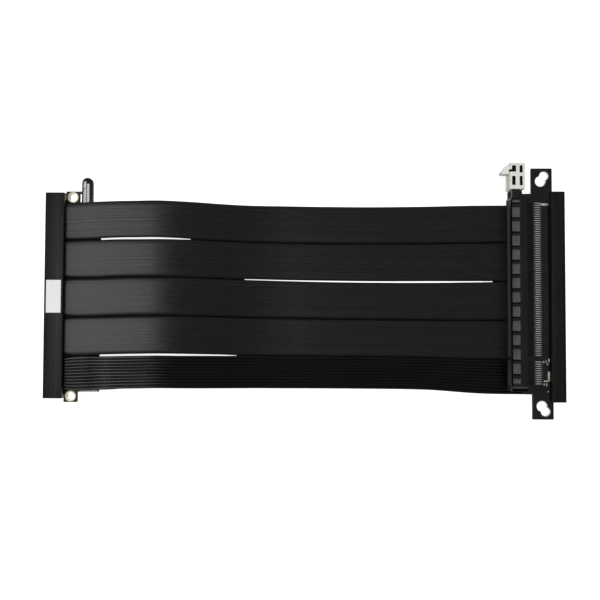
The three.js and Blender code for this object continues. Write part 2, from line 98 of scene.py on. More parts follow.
class Nodes:
    """A short way to write a node tree."""

    def __init__(self, name):
        self.material = bpy.data.materials.new(name)
        self.material.use_nodes = True
        self.tree = self.material.node_tree
        self.bsdf = self.tree.nodes["Principled BSDF"]
        self.coords = self.tree.nodes.new("ShaderNodeTexCoord")

    def add(self, kind, **values):
        node = self.tree.nodes.new(kind)
        for key, value in values.items():
            setattr(node, key, value)
        return node

    def link(self, a, b):
        self.tree.links.new(a, b)

    def scaled(self, source, scale):
        node = self.add("ShaderNodeMapping")
        node.inputs["Scale"].default_value = scale
        self.link(source, node.inputs["Vector"])
        return node.outputs["Vector"]

    def noise(self, vector, scale, detail=3.0, roughness=0.55):
        node = self.add("ShaderNodeTexNoise")
        node.inputs["Scale"].default_value = scale
        node.inputs["Detail"].default_value = detail
        node.inputs["Roughness"].default_value = roughness
        self.link(vector, node.inputs["Vector"])
        return node.outputs["Fac"]

    def ramp(self, fac, stops):
        node = self.add("ShaderNodeValToRGB")
        ramp = node.color_ramp
        while len(ramp.elements) < len(stops):
            ramp.elements.new(0.5)
        for element, (place, colour) in zip(ramp.elements, stops):
            element.position = place
            element.color = (*colour, 1.0) if len(colour) == 3 else colour
        self.link(fac, node.inputs["Fac"])
        return node.outputs["Color"]

    def math(self, operation, a, b=None):
        node = self.add("ShaderNodeMath", operation=operation)
        for i, value in enumerate((a, b)):
            if value is None:
                continue
            if isinstance(value, (int, float)):
                node.inputs[i].default_value = value
            else:
                self.link(value, node.inputs[i])
        return node.outputs[0]

    def mapped(self, value, a, b, c, d):
        node = self.add("ShaderNodeMapRange")
        for key, number in zip(("From Min", "From Max", "To Min", "To Max"), (a, b, c, d)):
            node.inputs[key].default_value = number
        self.link(value, node.inputs["Value"])
        return node.outputs["Result"]

    def mixed(self, fac, a, b):
        node = self.add("ShaderNodeMix", data_type="RGBA")
        self.link(fac, node.inputs["Factor"])
        for socket, value in ((node.inputs[6], a), (node.inputs[7], b)):
            if isinstance(value, tuple):
                socket.default_value = (*value, 1.0)
            else:
                self.link(value, socket)
        return node.outputs[2]

    def bump(self, heights):
        """Each height is (socket, distance in metres)."""
        normal = None
        for socket, distance in heights:
            node = self.add("ShaderNodeBump")
            node.inputs["Strength"].default_value = 1.0
            node.inputs["Distance"].default_value = distance
            self.link(socket, node.inputs["Height"])
            if normal is not None:
                self.link(normal, node.inputs["Normal"])
            normal = node.outputs["Normal"]
        self.link(normal, self.bsdf.inputs["Normal"])

    def set(self, **values):
        names = {"color": "Base Color", "roughness": "Roughness", "metallic": "Metallic",
                 "specular": "Specular IOR Level"}
        for key, value in values.items():
            socket = self.bsdf.inputs[names[key]]
            if isinstance(value, tuple):
                socket.default_value = (*value, 1.0)
            elif isinstance(value, (int, float)):
                socket.default_value = value
            else:
                self.link(value, socket)
        return self


def moulded(name, dark, light, roughness, specular=0.4, groove_highlight=None, matte_and_shade=None):
    """Moulded plastic: fine grain, faint flow streaks along the part, worn sheen.

    The grooved line's axis, place, width and depth; the line is painted lighter, a painted highlight. The
    rough end with painted shade: the x from which the surface turns from rough and painted dark to its plain
    finish, and the x where it has got there. All are in metres.
    """
    n = Nodes(name)
    place = n.coords.outputs["Object"]
    streaks = n.noise(n.scaled(place, (1.0, 0.08, 1.0)), 420.0, 4.0, 0.6)
    cloud = n.noise(place, 60.0, 2.0)
    grain = n.noise(place, 5200.0, 2.0, 0.7)
    tone = n.math("ADD", n.math("MULTIPLY", streaks, 0.65), n.math("MULTIPLY", cloud, 0.35))
    colour = n.ramp(tone, [(0.3, dark), (0.72, light)])
    heights = [(grain, 0.00003), (streaks, 0.00004)]
    if groove_highlight is not None:
        axis, at, width, depth = groove_highlight
        split = n.add("ShaderNodeSeparateXYZ")
        n.link(place, split.inputs[0])
        away = n.math("ABSOLUTE", n.math("SUBTRACT", split.outputs[axis], at))
        line = n.mapped(away, 0.0, width, 0.0, 1.0)
        # Painted highlight: the grooved line is painted lighter than the plastic
        colour = n.mixed(line, tuple(v * 1.9 for v in light), colour)
        heights.append((line, depth))
    rough = n.mapped(streaks, 0.2, 0.8, roughness - 0.06, roughness + 0.08)
    if matte_and_shade is not None:
        split = n.add("ShaderNodeSeparateXYZ")
        n.link(place, split.inputs[0])
        share = n.mapped(split.outputs[0], matte_and_shade[0], matte_and_shade[1], 0.0, 1.0)
        rough = n.math("ADD", rough, n.math("MULTIPLY", n.math("SUBTRACT", 1.0, share), 0.45))
        # Painted shade: the surface is painted darker towards low x
        colour = n.mixed(share, tuple(v * 0.5 for v in dark), colour)
    n.set(color=colour, roughness=rough, specular=specular)
    n.bump(heights)
    return n.material


def jacket_material(name, dark, light):
    """Smooth jacket over a row of small wires: lengthwise streaks that follow the strip."""
    n = Nodes(name)
    uv = n.coords.outputs["UV"]
    lines = n.noise(n.scaled(uv, (0.05, 9.0, 1.0)), 2.0, 2.0, 0.5)
    fine = n.noise(n.scaled(uv, (0.3, 60.0, 1.0)), 3.0, 2.0, 0.6)
    patches = n.noise(n.scaled(uv, (14.0, 3.0, 1.0)), 2.0, 3.0, 0.5)
    scuffs = n.noise(n.scaled(uv, (60.0, 30.0, 1.0)), 4.0, 4.0, 0.65)
    tone = n.math("ADD", n.math("MULTIPLY", lines, 0.5),
                  n.math("ADD", n.math("MULTIPLY", patches, 0.3), n.math("MULTIPLY", fine, 0.2)))
    split = n.add("ShaderNodeSeparateXYZ")
    n.link(uv, split.inputs[0])
    from_rim = n.math("SUBTRACT", 0.5, n.math("ABSOLUTE", n.math("SUBTRACT", split.outputs[1], 0.5)))
    # Painted shade of the seams: the colour turns near black in a thin band at both rims
    rim = n.mapped(from_rim, 0.018, 0.036, 0.0, 1.0)
    colour = n.mixed(rim, (0.0012, 0.0012, 0.0011), n.ramp(tone, [(0.36, dark), (0.66, light)]))
    outer = n.mapped(from_rim, 0.03, 0.3, 0.06, 0.0)
    rough = n.math("ADD", n.mapped(lines, 0.3, 0.7, 0.2, 0.31), outer)
    rough = n.math("ADD", rough, n.mapped(scuffs, 0.35, 0.65, -0.02, 0.04))
    dull_rim = n.math("MULTIPLY", n.math("SUBTRACT", 1.0, rim), 0.8)
    rough = n.math("ADD", n.math("MULTIPLY", rough, rim), dull_rim)
    n.set(color=colour, roughness=rough, specular=0.5)
    n.bump([(lines, 0.0001), (fine, 0.000018), (scuffs, 0.00001)])
    return n.material


def ribbon_material():
    """Glossy insulation, a touch duller in the valleys between the wires."""
    n = Nodes("ribbon_gloss")
    uv = n.coords.outputs["UV"]
    lines = n.noise(n.scaled(uv, (1.0, 60.0, 1.0)), 2.0, 3.0, 0.6)
    dust = n.noise(n.scaled(uv, (120.0, 60.0, 1.0)), 5.0, 4.0, 0.7)
    colour = n.ramp(lines, [(0.35, (0.0006, 0.0006, 0.0005)), (0.7, (0.0018, 0.0018, 0.0015))])
    n.set(color=colour, roughness=n.mapped(dust, 0.3, 0.7, 0.12, 0.22), specular=0.7)
    n.bump([(lines, 0.00003), (dust, 0.000008)])
    return n.material


def board_material():
    """Black solder mask over copper: weave of the laminate and faint buried tracks."""
    n = Nodes("board_mask")
    place = n.coords.outputs["Object"]
    weave = n.add("ShaderNodeTexWave", wave_type="BANDS", bands_direction="DIAGONAL")
    weave.inputs["Scale"].default_value = 900.0
    weave.inputs["Distortion"].default_value = 1.5
    n.link(place, weave.inputs["Vector"])
    cloud = n.noise(place, 120.0, 3.0)
    tracks = n.noise(n.scaled(place, (1.0, 0.12, 1.0)), 1500.0, 2.0)
    tone = n.math("ADD", n.math("MULTIPLY", cloud, 0.6), n.math("MULTIPLY", tracks, 0.4))
    colour = n.ramp(tone, [(0.35, (0.0075, 0.008, 0.0068)), (0.7, (0.0145, 0.0147, 0.0128))])
    n.set(color=colour, roughness=n.mapped(cloud, 0.3, 0.7, 0.36, 0.48), specular=0.4)
    n.bump([(weave.outputs["Fac"], 0.000012), (tracks, 0.00002)])
    return n.material


def board_edge_material():
    """Routed edge of the laminate: brown glass fibre layers."""
    n = Nodes("board_edge")
    place = n.coords.outputs["Object"]
    layers = n.noise(n.scaled(place, (0.2, 0.2, 12.0)), 900.0, 2.0)
    fibres = n.noise(n.scaled(place, (1.0, 1.0, 5.0)), 2600.0, 3.0)
    colour = n.ramp(layers, [(0.35, (0.012, 0.010, 0.007)), (0.65, (0.045, 0.034, 0.018))])
    n.set(color=colour, roughness=0.7, specular=0.3)
    n.bump([(fibres, 0.00005)])
    return n.material


def metal(name, dark, light, roughness):
    """Plated or bare metal with fine marks and a faint haze."""
    n = Nodes(name)
    place = n.coords.outputs["Object"]
    marks = n.noise(place, 900.0, 4.0, 0.65)
    haze = n.noise(place, 260.0, 3.0)
    colour = n.ramp(n.math("ADD", n.math("MULTIPLY", marks, 0.5), n.math("MULTIPLY", haze, 0.5)),
                    [(0.32, dark), (0.68, light)])
    n.set(color=colour, metallic=1.0,
          roughness=n.mapped(marks, 0.3, 0.7, roughness - 0.06, roughness + 0.1))
    n.bump([(marks, 0.00001)])
    return n.material


def lead_material(bright_from):
    """Tinned leads: painted shade where they leave the housing, bright at the feet."""
    n = Nodes("tinned_leads")
    place = n.coords.outputs["Object"]
    split = n.add("ShaderNodeSeparateXYZ")
    n.link(place, split.inputs[0])
    marks = n.noise(n.scaled(place, (1.0, 4.0, 1.0)), 900.0, 4.0, 0.65)
    bright = n.ramp(marks, [(0.32, (0.40, 0.40, 0.39)), (0.68, (0.62, 0.62, 0.60))])
    shaded_lead_tone = n.ramp(marks, [(0.32, (0.03, 0.03, 0.027)), (0.68, (0.06, 0.06, 0.055))])
    share = n.mapped(split.outputs[0], bright_from - 0.0003, bright_from, 0.0, 1.0)
    n.set(color=n.mixed(share, shaded_lead_tone, bright), metallic=1.0,
          roughness=n.mapped(marks, 0.3, 0.7, 0.3, 0.42))
    n.bump([(marks, 0.00001)])
    return n.material


def paper_material():
    """White label paper with short fibres."""
    n = Nodes("label_paper")
    place = n.coords.outputs["Object"]
    fibres = n.noise(n.scaled(place, (1.0, 0.4, 1.0)), 2400.0, 5.0, 0.7)
    cloud = n.noise(place, 90.0, 2.0)
    colour = n.ramp(n.math("ADD", n.math("MULTIPLY", fibres, 0.6), n.math("MULTIPLY", cloud, 0.4)),
                    [(0.3, (0.80, 0.80, 0.79)), (0.7, (0.90, 0.90, 0.89))])
    n.set(color=colour, roughness=0.62, specular=0.35)
    n.bump([(fibres, 0.00002)])
    return n.material


def latch_material(name, dark, light, roughness=0.42):
    """Off-white moulded nylon: mottled, slightly waxy."""
    n = Nodes(name)
    place = n.coords.outputs["Object"]
    mottle = n.noise(place, 520.0, 3.0, 0.5)
    grain = n.noise(place, 5200.0, 2.0, 0.6)
    colour = n.ramp(mottle, [(0.3, dark), (0.7, light)])
    n.set(color=colour, roughness=n.mapped(mottle, 0.3, 0.7, roughness - 0.05, roughness + 0.06),
          specular=0.45)
    n.bump([(grain, 0.00002), (mottle, 0.00004)])
    return n.material


def panel_floor_material(first, pitch):
    """Floor of the housing's recessed panels: polished, painted lighter than the housing as a painted sheen,
    and painted shade at each panel's lower end.
    """
    n = Nodes("panel_floor")
    place = n.coords.outputs["Object"]
    split = n.add("ShaderNodeSeparateXYZ")
    n.link(place, split.inputs[0])
    along = n.math("FRACT", n.math("DIVIDE", n.math("SUBTRACT", split.outputs[1], first), pitch))
    cloud = n.noise(n.scaled(place, (1.0, 0.3, 1.0)), 900.0, 3.0)
    # Painted sheen: the floors are painted lighter than the rest of the housing
    light = n.ramp(cloud, [(0.3, (0.05, 0.05, 0.047)), (0.7, (0.085, 0.085, 0.08))])
    shade = n.ramp(along, [(0.0, (0.0, 0.0, 0.0)), (0.03, (0.0, 0.0, 0.0)), (0.06, (1.0, 1.0, 1.0)),
                           (0.8, (1.0, 1.0, 1.0))])
    n.set(color=n.mixed(shade, (0.0015, 0.0015, 0.0015), light),
          roughness=n.mapped(cloud, 0.3, 0.7, 0.3, 0.42), specular=0.5)
    n.bump([(cloud, 0.00003), (shade, 0.00012)])
    return n.material


def worn_print():
    """Print rubbed thin, with pinholes down to the mask."""
    n = Nodes("worn_print")
    place = n.coords.outputs["Object"]
    wear = n.noise(place, 1500.0, 5.0, 0.75)
    colour = n.ramp(wear, [(0.36, (0.14, 0.14, 0.135)), (0.48, (0.52, 0.52, 0.51)),
                           (0.66, (0.74, 0.74, 0.72))])
    n.set(color=colour, roughness=0.55, specular=0.4)
    n.bump([(wear, 0.00002)])
    return n.material


GROOVE_WIDTH = 0.00022
GROOVE_DEPTH = 0.00006
SOLDER_METAL = 0.55
# Covers: a painted highlight along each grooved line, and painted shade towards the plug cover's outer end
COVER = moulded("cover_plastic", (0.0052, 0.0054, 0.0047), (0.0125, 0.0125, 0.011), 0.4,
                groove_highlight=(0, -0.1131, GROOVE_WIDTH, GROOVE_DEPTH), matte_and_shade=(-0.1192, -0.1122))
COVER_B = moulded("slot_cover_plastic", (0.0036, 0.0037, 0.0031), (0.0066, 0.0066, 0.0057), 0.5,
                  groove_highlight=(0, 0.1168, GROOVE_WIDTH, GROOVE_DEPTH))
HOUSING = moulded("housing_plastic", (0.0062, 0.0066, 0.0055), (0.0112, 0.0113, 0.0098), 0.5)
INNER = moulded("inner_plastic", (0.004, 0.004, 0.004), (0.009, 0.009, 0.008), 0.6)
SHADE = moulded("window_shade", (0.004, 0.0042, 0.002), (0.012, 0.012, 0.007), 0.7)
# Painted highlight for faces and edges of the housing that catch the light
EDGE_HIGHLIGHT = moulded("lip_highlight", (0.05, 0.05, 0.047), (0.10, 0.10, 0.094), 0.4)
SHADOW = moulded("joint_shadow", (0.0008, 0.0008, 0.0007), (0.0016, 0.0016, 0.0014), 0.85, specular=0.1)
JACKET = jacket_material("jacket_satin", (0.0058, 0.0059, 0.0050), (0.0112, 0.0113, 0.0097))
RIBBON = ribbon_material()
BOARD = board_material()
EDGE = board_edge_material()
GOLD = metal("gold_plate", (0.50, 0.32, 0.08), (0.78, 0.55, 0.16), 0.24)
TINNED = lead_material(0.1053)
# Plated rings: pale cream, a painted reflection on their plating
RING_REFLECTION = latch_material("ring_plate_reflection", (0.88, 0.80, 0.50), (0.96, 0.91, 0.68), 0.3)
RING_BORDER = moulded("ring_border", (0.022, 0.012, 0.003), (0.045, 0.026, 0.006), 0.5)
WALL = metal("hole_wall", (0.60, 0.60, 0.58), (0.78, 0.78, 0.76), 0.45)
SOLDER = metal("solder", (0.62, 0.62, 0.60), (0.86, 0.86, 0.84), 0.3)
SOLDER.node_tree.nodes["Principled BSDF"].inputs["Metallic"].default_value = SOLDER_METAL
COPPER = metal("copper_bare", (0.40, 0.14, 0.06), (0.62, 0.25, 0.12), 0.34)
PAPER = paper_material()
LATCH = latch_material("latch_nylon", (0.70, 0.725, 0.655), (0.80, 0.82, 0.755))
SILK = latch_material("board_print", (0.22, 0.22, 0.21), (0.50, 0.50, 0.47), 0.6)
WORN_PRINT = worn_print()

# Cords: five strips side by side, in mm

PLUG_FACE = -110.15
SLOT_FACE = 112.7
ENTRY = 1.4
COVER_Y = -2.57
LANES = (34.95, 16.95, -1.05, -19.05, -36.0)
# Share of the run between the ends, height, and how far each strip's middle lies off its lane
ROUTE = (
    (0.0, 6.4, -1.0, -0.3, -0.1, 0.1, 0.0),
    (0.016, 6.4, -1.0, -0.3, -0.1, 0.1, 0.0),
    (0.042, 7.1, -0.8, -0.2, -0.1, 0.2, 0.3),
    (0.078, 8.7, -0.6, -0.2, 0.0, 0.4, 0.7),
    (0.118, 10.1, -0.5, 0.1, 0.3, 0.7, 1.0),
    (0.158, 11.0, -0.5, 0.1, 0.5, 0.9, 1.2),
    (0.197, 11.3, -0.4, 0.1, 0.6, 1.0, 1.4),
    (0.237, 10.6, -0.6, 0.0, 0.6, 0.9, 1.3),
    (0.277, 8.7, -0.8, -0.2, 0.4, 0.8, 1.1),
    (0.317, 6.0, -1.0, -0.4, 0.2, 0.6, 0.9),
    (0.357, 3.4, -1.1, -0.5, 0.0, 0.3, 0.7),
    (0.397, 1.6, -1.1, -0.6, -0.1, 0.1, 0.6),
    (0.441, 0.85, -1.1, -0.8, -0.3, 0.0, 0.5),
    (0.517, 0.75, -1.3, -1.1, -0.6, -0.2, 0.5),
    (0.627, 0.75, -1.4, -1.2, -1.0, -0.3, 0.4),
    (0.738, 0.75, -1.1, -1.1, -1.0, -0.6, 0.1),
    (0.849, 0.75, -0.5, -0.8, -0.9, -1.0, -1.0),
    (0.938, 0.75, -0.4, -0.5, -0.7, -0.9, -1.2),
    (0.964, 1.2, -0.4, -0.5, -0.7, -0.9, -1.2),
    (0.984, 2.2, -0.4, -0.5, -0.7, -0.9, -1.1),
    (1.0, 2.6, -0.4, -0.5, -0.7, -0.9, -1.1),
)
STRIP_WIDTH = 16.9
RIBBON_WIDTH = 14.8
STRIP_THICKNESS = 1.2
# Width of the gap between neighbouring strips along x, in mm
SEAMS = (
    ((-106, 0.4), (-95.5, 0.5), (-93.5, 0.75), (-70, 0.85), (-58, 0.6), (-52, 0.3), (114, 0.4)),
    ((-106, 0.4), (-30, 0.3), (-22, 0.4), (20, 0.6), (60, 0.7), (80, 0.5), (90, 0.3), (114, 0.4)),
    ((-106, 0.4), (114, 0.4)),
    ((-106, 0.4), (-95.5, 0.5), (-93.5, 0.8), (-60, 0.85), (-38, 0.55), (-31, 0.2), (114, 0.2)),
)
# Stretches of x where a dark sheet of painted shadow lies between two neighbours
SEAM_SHADOWS = (((-108, -95.2), (-53, 112)), ((-108, -27), (87, 112)), ((-108, 112),), ((-108, -95.2), (-32, 112)))
WIRES = 11
STATIONS = 190
RIBBON_INDEX = 4
CURVE_STEPS = 24
RIM_WIDTH = 1.4
JACKET_RIDGE = 0.012
JACKET_RIDGE_PITCH = 1.3
JACKET_SHRINK = 0.03
WIRE_WEB = 0.14
# The outer rim of the ribbon spreads towards the slot, and a little beside the plug board
SLOT_SPREAD = 0.7
PLUG_SPREAD = 0.5
MOST_OVERLAP = 0.3
# Shallow dip of the ribbon near the plug, and the small waves of its wires
DIP_DEPTH = 1.3
DIP_AT = -94.5
DIP_SPREAD = 4.6
WAVE_HEIGHT = 0.16
WAVE_DROP = 0.14
WAVE_LENGTH = 16
# Half width and heights of the sheets of painted shadow in the seams, in mm
SEAM_SHADOW_HALF = 0.45
SEAM_SHADOW_LOW = -0.42
SEAM_SHADOW_HIGH = -0.36


def catmull(points, count):
    """A smooth curve through the points, evenly spaced along its length (centripetal)."""
    dense = []
    last = len(points) - 1
    for i in range(last):
        p1, p2 = points[i], points[i + 1]
        p0 = points[i - 1] if i > 0 else p1 * 2 - p2
        p3 = points[i + 2] if i + 2 <= last else p2 * 2 - p1
        t0 = 0.0
        t1 = t0 + max((p1 - p0).length, 1e-9) ** 0.5
        t2 = t1 + max((p2 - p1).length, 1e-9) ** 0.5
        t3 = t2 + max((p3 - p2).length, 1e-9) ** 0.5
        for k in range(CURVE_STEPS):
            t = t1 + (t2 - t1) * k / CURVE_STEPS
            a1 = p0 * ((t1 - t) / (t1 - t0)) + p1 * ((t - t0) / (t1 - t0))
            a2 = p1 * ((t2 - t) / (t2 - t1)) + p2 * ((t - t1) / (t2 - t1))
            a3 = p2 * ((t3 - t) / (t3 - t2)) + p3 * ((t - t2) / (t3 - t2))
            b1 = a1 * ((t2 - t) / (t2 - t0)) + a2 * ((t - t0) / (t2 - t0))
            b2 = a2 * ((t3 - t) / (t3 - t1)) + a3 * ((t - t1) / (t3 - t1))
            dense.append(b1 * ((t2 - t) / (t2 - t1)) + b2 * ((t - t1) / (t2 - t1)))
    dense.append(points[last])
    lengths = [0.0]
    for a, b in zip(dense, dense[1:]):
        lengths.append(lengths[-1] + (b - a).length)
    out, j = [], 0
    for k in range(count + 1):
        target = lengths[-1] * k / count
        while j < len(lengths) - 2 and lengths[j + 1] < target:
            j += 1
        gap = lengths[j + 1] - lengths[j]
        out.append(dense[j].lerp(dense[j + 1], (target - lengths[j]) / gap if gap > 0 else 0.0))
    return out, lengths[-1]


def centre_line(index):
    """Evenly spaced points along a strip's middle, and its length."""
    start = PLUG_FACE - ENTRY
    run = SLOT_FACE + ENTRY - start
    lane = COVER_Y + LANES[index]
    points = [Vector((start + row[0] * run, lane + row[index + 2], row[1])) for row in ROUTE]
    return catmull(points, STATIONS)


def flat_section():
    """Points (across, up) of a flat jacket: crowned a little over its wires, thin rounded rims."""
    half, thick = STRIP_WIDTH / 2, STRIP_THICKNESS / 2
    top = []
    for k in range(33):
        v = -half + 2 * half * k / 32
        rim = min(half - abs(v), RIM_WIDTH) / RIM_WIDTH
        ridge = JACKET_RIDGE * math.cos(2 * math.pi * v / JACKET_RIDGE_PITCH)
        top.append((v, (thick - JACKET_SHRINK + ridge) * rim ** 0.42 if rim > 0 else 0.0))
    return top + [(v, -z) for v, z in reversed(top[1:-1])]


def ribbon_section():
    """Points (across, up) of a row of round wires joined side by side."""
    half, thick = RIBBON_WIDTH / 2, STRIP_THICKNESS / 2
    pitch = RIBBON_WIDTH / WIRES
    top = []
    for w in range(WIRES):
        middle = -half + pitch * (w + 0.5)
        steps = 7
        for k in range(steps + (1 if w == WIRES - 1 else 0)):
            a = math.pi * (1 - k / steps)
            height = thick * math.sin(a)
            web = WIRE_WEB if 0 < w + k / steps < WIRES else 0.0
            top.append((middle + pitch / 2 * math.cos(a), max(height, web)))
    return top + [(v, -z) for v, z in reversed(top[1:-1])]


def follow(table, x):
    """The value of a table of (x, value) pairs at x."""
    for (xa, a), (xb, b) in zip(table, table[1:]):
        if x <= xb:
            return a + (b - a) * smoothstep(xa, xb, x)
    return table[-1][1]


HALVES = [STRIP_WIDTH / 2] * 4 + [RIBBON_WIDTH / 2]
LINES = [centre_line(i) for i in range(5)]


def edge(index, k, way):
    """How far strip `index` reaches from its middle at station k, towards one neighbour."""
    x = LINES[index][0][k].x
    other = index - way
    if not 0 <= other < 5:
        if index != RIBBON_INDEX:
            return HALVES[index]
        by_plug = PLUG_SPREAD * smoothstep(-109, -106, x) * (1 - smoothstep(-94, -80, x))
        return HALVES[index] + (SLOT_SPREAD * smoothstep(55, 92, x) + by_plug)
    apart = abs(LINES[index][0][k].y - LINES[other][0][k].y)
    room = apart - HALVES[index] - HALVES[other] - follow(SEAMS[min(index, other)], x)
    past_plug = smoothstep(-109.5, -106, x)
    before_slot = 1 - smoothstep(111, 112.5, x)
    return HALVES[index] + max(room / 2, -MOST_OVERLAP) * past_plug * before_slot


def ribbon_lift(x, v):
    """How far the ribbon's skin rises at x and at v across it."""
    half = RIBBON_WIDTH / 2
    lift = -DIP_DEPTH * math.exp(-((x - DIP_AT) / DIP_SPREAD) ** 2)
    if abs(v) < half - 0.1:
        wire = math.floor((v + half) / (RIBBON_WIDTH / WIRES))
        swell = smoothstep(-112, -100, x) * (1 - smoothstep(-20, 20, x))
        wave = noise.noise(Vector((x / WAVE_LENGTH, wire * 1.7, 3.1)))
        lift += swell * (WAVE_HEIGHT * wave - WAVE_DROP)
    return lift


def make_strip(index, name, section, material):
    """One strip: its section swept along its middle line."""
    line, length = LINES[index]
    verts, uvs = [], []
    half = HALVES[index]
    for k, point in enumerate(line):
        ahead = line[min(k + 1, STATIONS)] - line[max(k - 1, 0)]
        across = Vector((-ahead.y, ahead.x, 0)).normalized()
        up = ahead.cross(across).normalized()
        along = length * k / STATIONS
        left, right = edge(index, k, 1) / half, edge(index, k, -1) / half
        for v, z in section:
            lift = ribbon_lift(point.x, v) if index == RIBBON_INDEX else 0.0
            verts.append(point + across * (v * (left if v > 0 else right)) + up * (z + lift))
            uvs.append((along * 0.01, (v + half) / (2 * half)))
    ring = len(section)
    faces = []
    for k in range(STATIONS):
        for j in range(ring):
            a, b = k * ring + j, k * ring + (j + 1) % ring
            faces.append((a, b, b + ring, a + ring))
    faces.append(tuple(range(ring))[::-1])
    faces.append(tuple(STATIONS * ring + j for j in range(ring)))
    strip = new_object(name, verts, faces, smooth=True)
    face_outwards(strip)
    layer = strip.data.uv_layers.new(name="strip_uv")
    for loop in strip.data.loops:
        layer.data[loop.index].uv = uvs[loop.vertex_index]
    if index != RIBBON_INDEX:
        strip.data.set_sharp_from_angle(angle=math.radians(50))
    finish_piece(strip, material, stands_for=(name.replace("_detail", ""),))


def make_seam_shadow(number, seam, start, stop):
    """Thin dark sheet of painted shadow below the rims of two neighbouring strips."""
    verts, faces = [], []
    for k in range(STATIONS + 1):
        here = LINES[seam][0][k]
        if start <= here.x <= stop:
            low = here.y - edge(seam, k, -1)
            high = LINES[seam + 1][0][k].y + edge(seam + 1, k, 1)
            mid = (low + high) / 2
            corners = ((mid - SEAM_SHADOW_HALF, SEAM_SHADOW_LOW), (mid + SEAM_SHADOW_HALF, SEAM_SHADOW_LOW),
                       (mid + SEAM_SHADOW_HALF, SEAM_SHADOW_HIGH), (mid - SEAM_SHADOW_HALF, SEAM_SHADOW_HIGH))
            verts.extend((here.x, y, here.z + z) for y, z in corners)
    rows = len(verts) // 4
    for k in range(rows - 1):
        for j in range(4):
            a, b = 4 * k + j, 4 * k + (j + 1) % 4
            faces.append((a, a + 4, b + 4, b))
    faces.append((0, 1, 2, 3))
    faces.append(tuple(4 * rows - 1 - j for j in range(4)))
    return finish_piece(new_object(f"seam_shadow_{number}", verts, faces), SHADOW)


seam_shadow_number = 0
for seam, stretches in enumerate(SEAM_SHADOWS):
    for start, stop in stretches:
        seam_shadow_number += 1
        make_seam_shadow(seam_shadow_number, seam, start, stop)

for i in range(4):
    make_strip(i, f"flat_strip_{i + 1}_detail", flat_section(), JACKET)
make_strip(RIBBON_INDEX, "ribbon_strip_5_detail", ribbon_section(), RIBBON)

# Moulded and cut pieces: the CAD solid's shape with its edges eased


def eased(node, name, width, material, body="base", segments=2):
    """A copy of a CAD solid with rounded edges, so that each edge catches the light."""
    mesh = nodes[node].data.copy()
    obj = bpy.data.objects.new(name, mesh)
    bpy.context.scene.collection.objects.link(obj)
    bm = bmesh.new()
    bm.from_mesh(mesh)
    bmesh.ops.remove_doubles(bm, verts=bm.verts, dist=0.000002)
    bmesh.ops.dissolve_limit(bm, angle_limit=math.radians(2), verts=bm.verts, edges=bm.edges)
    bm.to_mesh(mesh)
    bm.free()
    for attribute in [a.name for a in mesh.color_attributes]:
        mesh.color_attributes.remove(mesh.color_attributes[attribute])
    bevel = obj.modifiers.new("ease", "BEVEL")
    bevel.width = width * MM
    bevel.segments = segments
    bevel.limit_method = "ANGLE"
    bevel.angle_limit = math.radians(40)
    bevel.use_clamp_overlap = True
    bevel.harden_normals = False
    bpy.context.view_layer.update()
    evaluated = obj.evaluated_get(bpy.context.evaluated_depsgraph_get())
    baked = bpy.data.meshes.new_from_object(evaluated)
    obj.modifiers.clear()
    obj.data = baked
    baked.polygons.foreach_set("use_smooth", [True] * len(baked.polygons))
    baked.set_sharp_from_angle(angle=math.radians(38))
    return finish_piece(obj, material, body, (node,))


def second_material(obj, material, chosen):
    """The faces for which chosen(centre in mm, normal) is true get another material."""
    obj.data.materials.append(material)
    index = len(obj.data.materials) - 1
    for polygon in obj.data.polygons:
        if chosen(Vector(polygon.center) / MM, Vector(polygon.normal)):
            polygon.material_index = index


COVER_EDGE = 0.32
for node, material in (("plug_cover_top", COVER), ("plug_cover_bottom", COVER),
                       ("slot_cover_bottom", COVER_B), ("slot_cover_top", COVER_B)):
    eased(node, f"{node}_shell", COVER_EDGE, material, segments=3)
housing = eased("slot_housing", "slot_housing_body", 0.1, HOUSING)
latch = eased("retention_latch", "retention_latch_body", 0.16, LATCH, "latch")
plug_board = eased("plug_board", "plug_board_body", 0.05, BOARD, segments=1)
slot_board = eased("slot_board", "slot_board_body", 0.05, BOARD, segments=1)

# Routed edges of the two boards
for piece in (plug_board, slot_board):
    second_material(piece, EDGE, lambda at, normal: abs(normal.z) < 0.3)

# Floors of the recessed panels on the housing's two broad faces
SLOT_Y = -1.0
SLOT_Z = 5.5
HOUSING_HALF = 3.8
PANEL_DEPTH = 0.45
PANEL_FIRST = 39.3
PANEL_LENGTH = 5.0
PANEL_PITCH = 6.49
PANEL_COUNT = 12
PANEL_LOW = PANEL_FIRST - PANEL_LENGTH + SLOT_Y
FLOOR = panel_floor_material(PANEL_LOW * MM, PANEL_PITCH * MM)
second_material(housing, FLOOR, lambda at, normal: abs(normal.z) > 0.9
                and abs(abs(at.z - SLOT_Z) - (HOUSING_HALF - PANEL_DEPTH)) < 0.06)

# Upper half of the mouth's front, painted lighter as a painted highlight
second_material(housing, EDGE_HIGHLIGHT, lambda at, normal: normal.x < -0.7 and at.x < 94.3 and at.z > SLOT_Z + 1.0)

# Inside of the latch's windows: left, right, nearest and farthest, from its front and its top edge
HOUSING_X = SLOT_FACE - 18.7  # front of the slot housing
LATCH_X = HOUSING_X - 0.15
LATCH_TOP = 58.75
WINDOWS = ((0.75, 2.6, 1.3, 4.2), (-0.2, 1.2, 3.1, 4.2), (4.25, 5.6, 1.3, 4.6),
           (0.8, 2.35, 6.2, 10.3), (4.3, 5.6, 6.2, 10.5))


def in_window(at, normal):
    if abs(at.z - SLOT_Z) > HOUSING_HALF - 0.25:
        return False
    across, down = at.x - LATCH_X, LATCH_TOP - at.y
    return any(left - 0.05 < across < right + 0.05 and near - 0.05 < down < far + 0.05
               for left, right, near, far in WINDOWS)


second_material(latch, SHADE, in_window)

